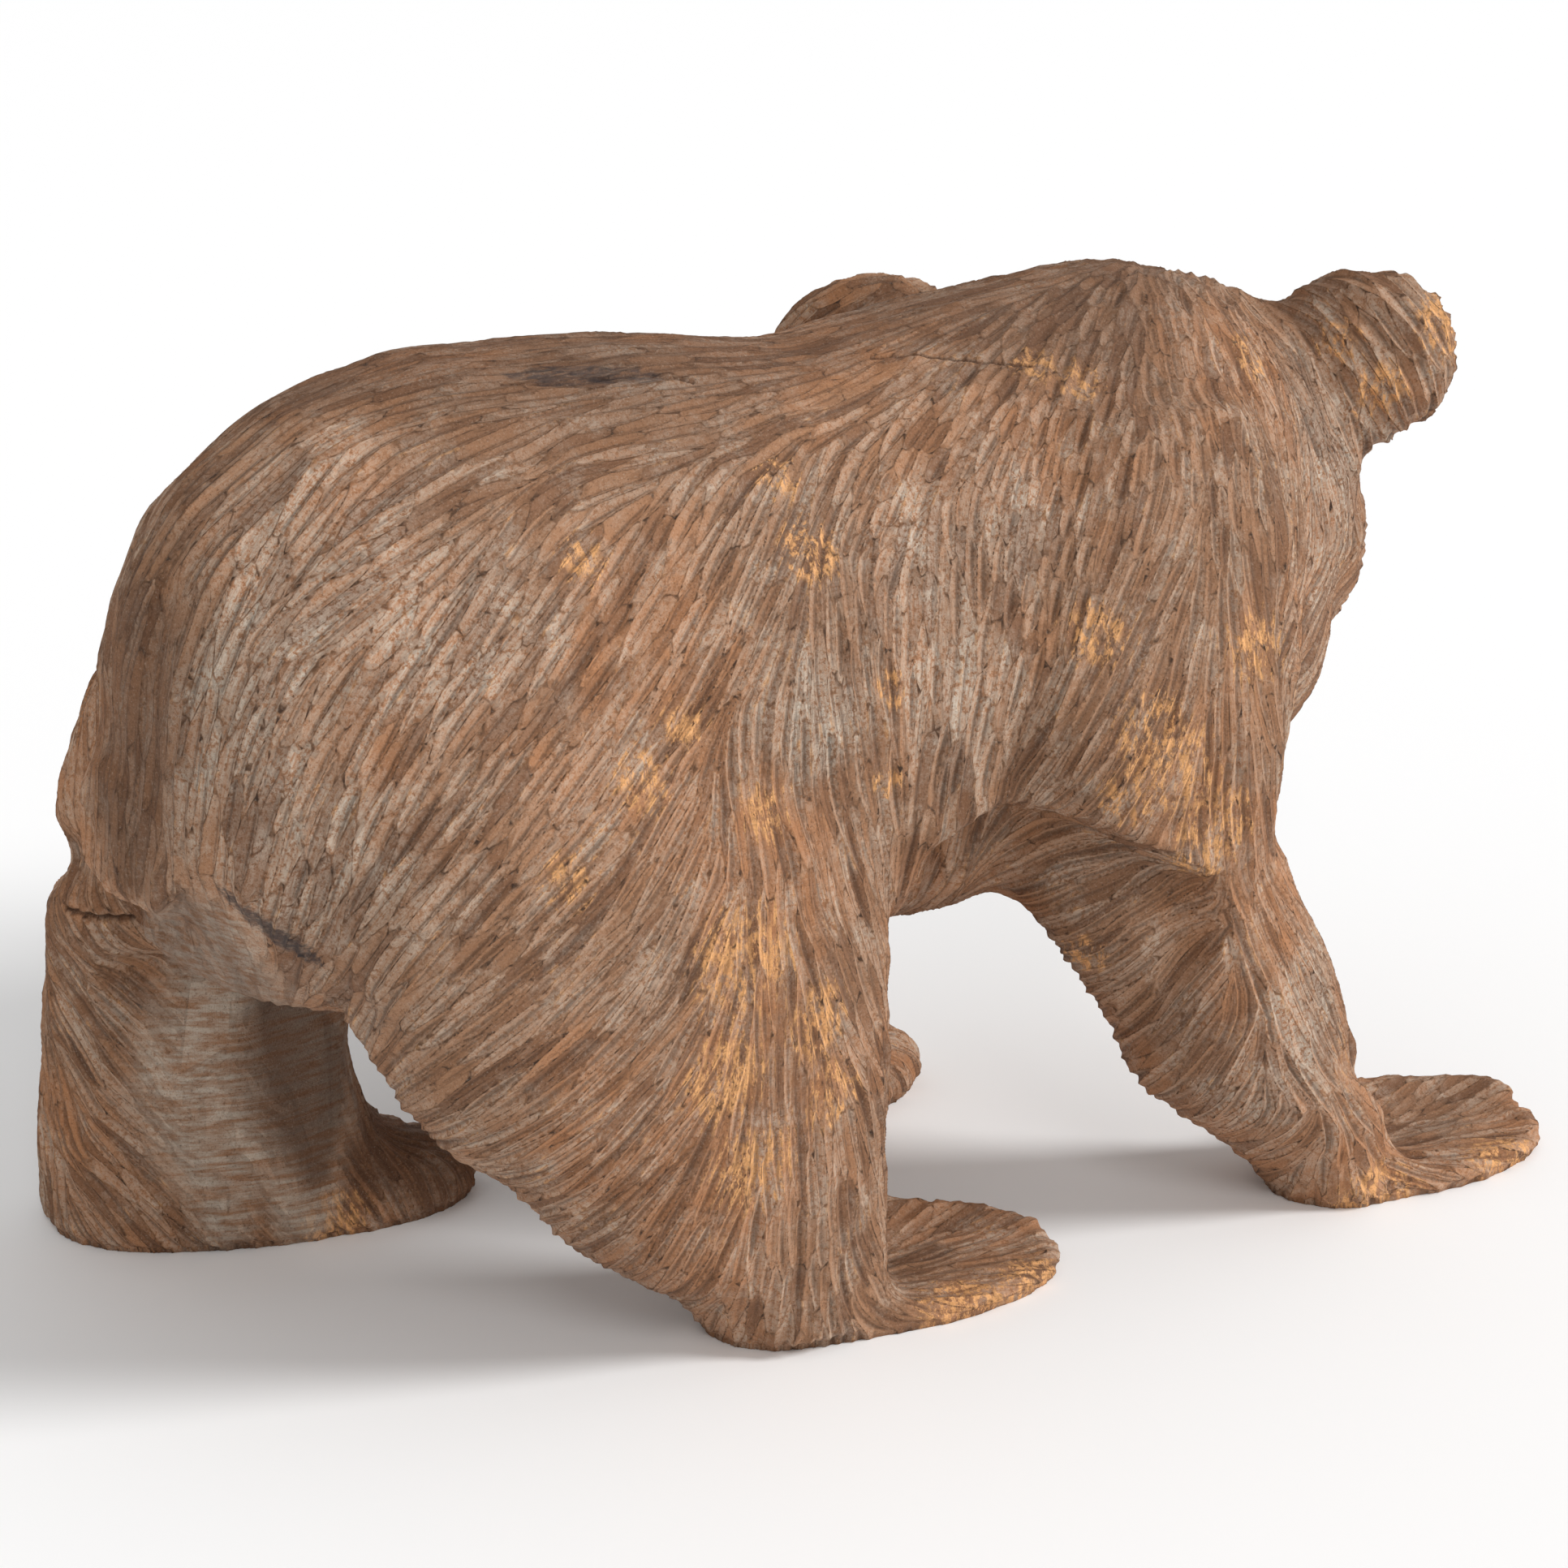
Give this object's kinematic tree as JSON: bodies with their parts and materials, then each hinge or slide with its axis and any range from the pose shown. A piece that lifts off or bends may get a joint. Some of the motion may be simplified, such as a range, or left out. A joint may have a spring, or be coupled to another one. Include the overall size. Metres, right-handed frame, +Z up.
{
  "type": "carved wooden bear figurine",
  "caption": "Walking bear carved from one log, head turned to its left, with gouged fur, flat soles and glass eyes on wire pins.",
  "frame": {"origin": "middle of the figure's outline seen from above, on the floor that its soles stand on", "axes": "+X the way the bear walks, +Y its left side, +Z up"},
  "size_m": [0.5554, 0.2905, 0.3445],
  "materials": {
    "weathered_wood": "raw, weathered, gouge-cut",
    "dark_glass": "polished",
    "iron_wire": "drawn wire"
  },
  "bodies": {
    "root": {"carved_body": "weathered_wood", "left_eye_bead": "dark_glass", "right_eye_bead": "dark_glass", "left_eye_pin": "iron_wire", "right_eye_pin": "iron_wire"}
  },
  "joints": []
}
